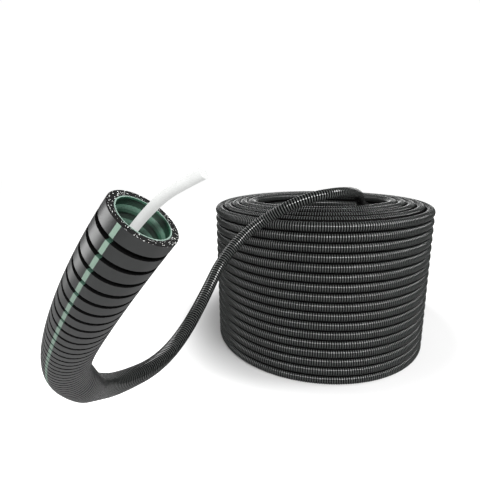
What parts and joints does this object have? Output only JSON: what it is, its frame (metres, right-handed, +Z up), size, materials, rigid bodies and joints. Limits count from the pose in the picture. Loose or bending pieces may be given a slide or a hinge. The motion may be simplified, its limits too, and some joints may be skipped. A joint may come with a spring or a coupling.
{
  "type": "corrugated conduit",
  "caption": "Coil of flexible corrugated conduit with a smooth inner liner; the free end rises out of the coil's eye, arches over its rim and ends in an open cut mouth with a pull line in it.",
  "frame": {"origin": "on the coil's axis, at the floor that the coil stands on", "axes": "+Z up along the coil's axis; the free end hangs out toward -X and -Y and its mouth points back up toward +X"},
  "size_m": [0.728, 1.3555, 0.5862],
  "materials": {
    "conduit_wall": "dark grey moulded plastic, satin, with a thin pale green line along it",
    "liner": "green, smooth and satin to glossy",
    "pull_line": "translucent white, plain"
  },
  "bodies": {
    "root": {"conduit_coil": "conduit_wall", "free_end_wall": "conduit_wall", "free_end_liner": "liner", "pull_line": "pull_line"}
  },
  "joints": []
}
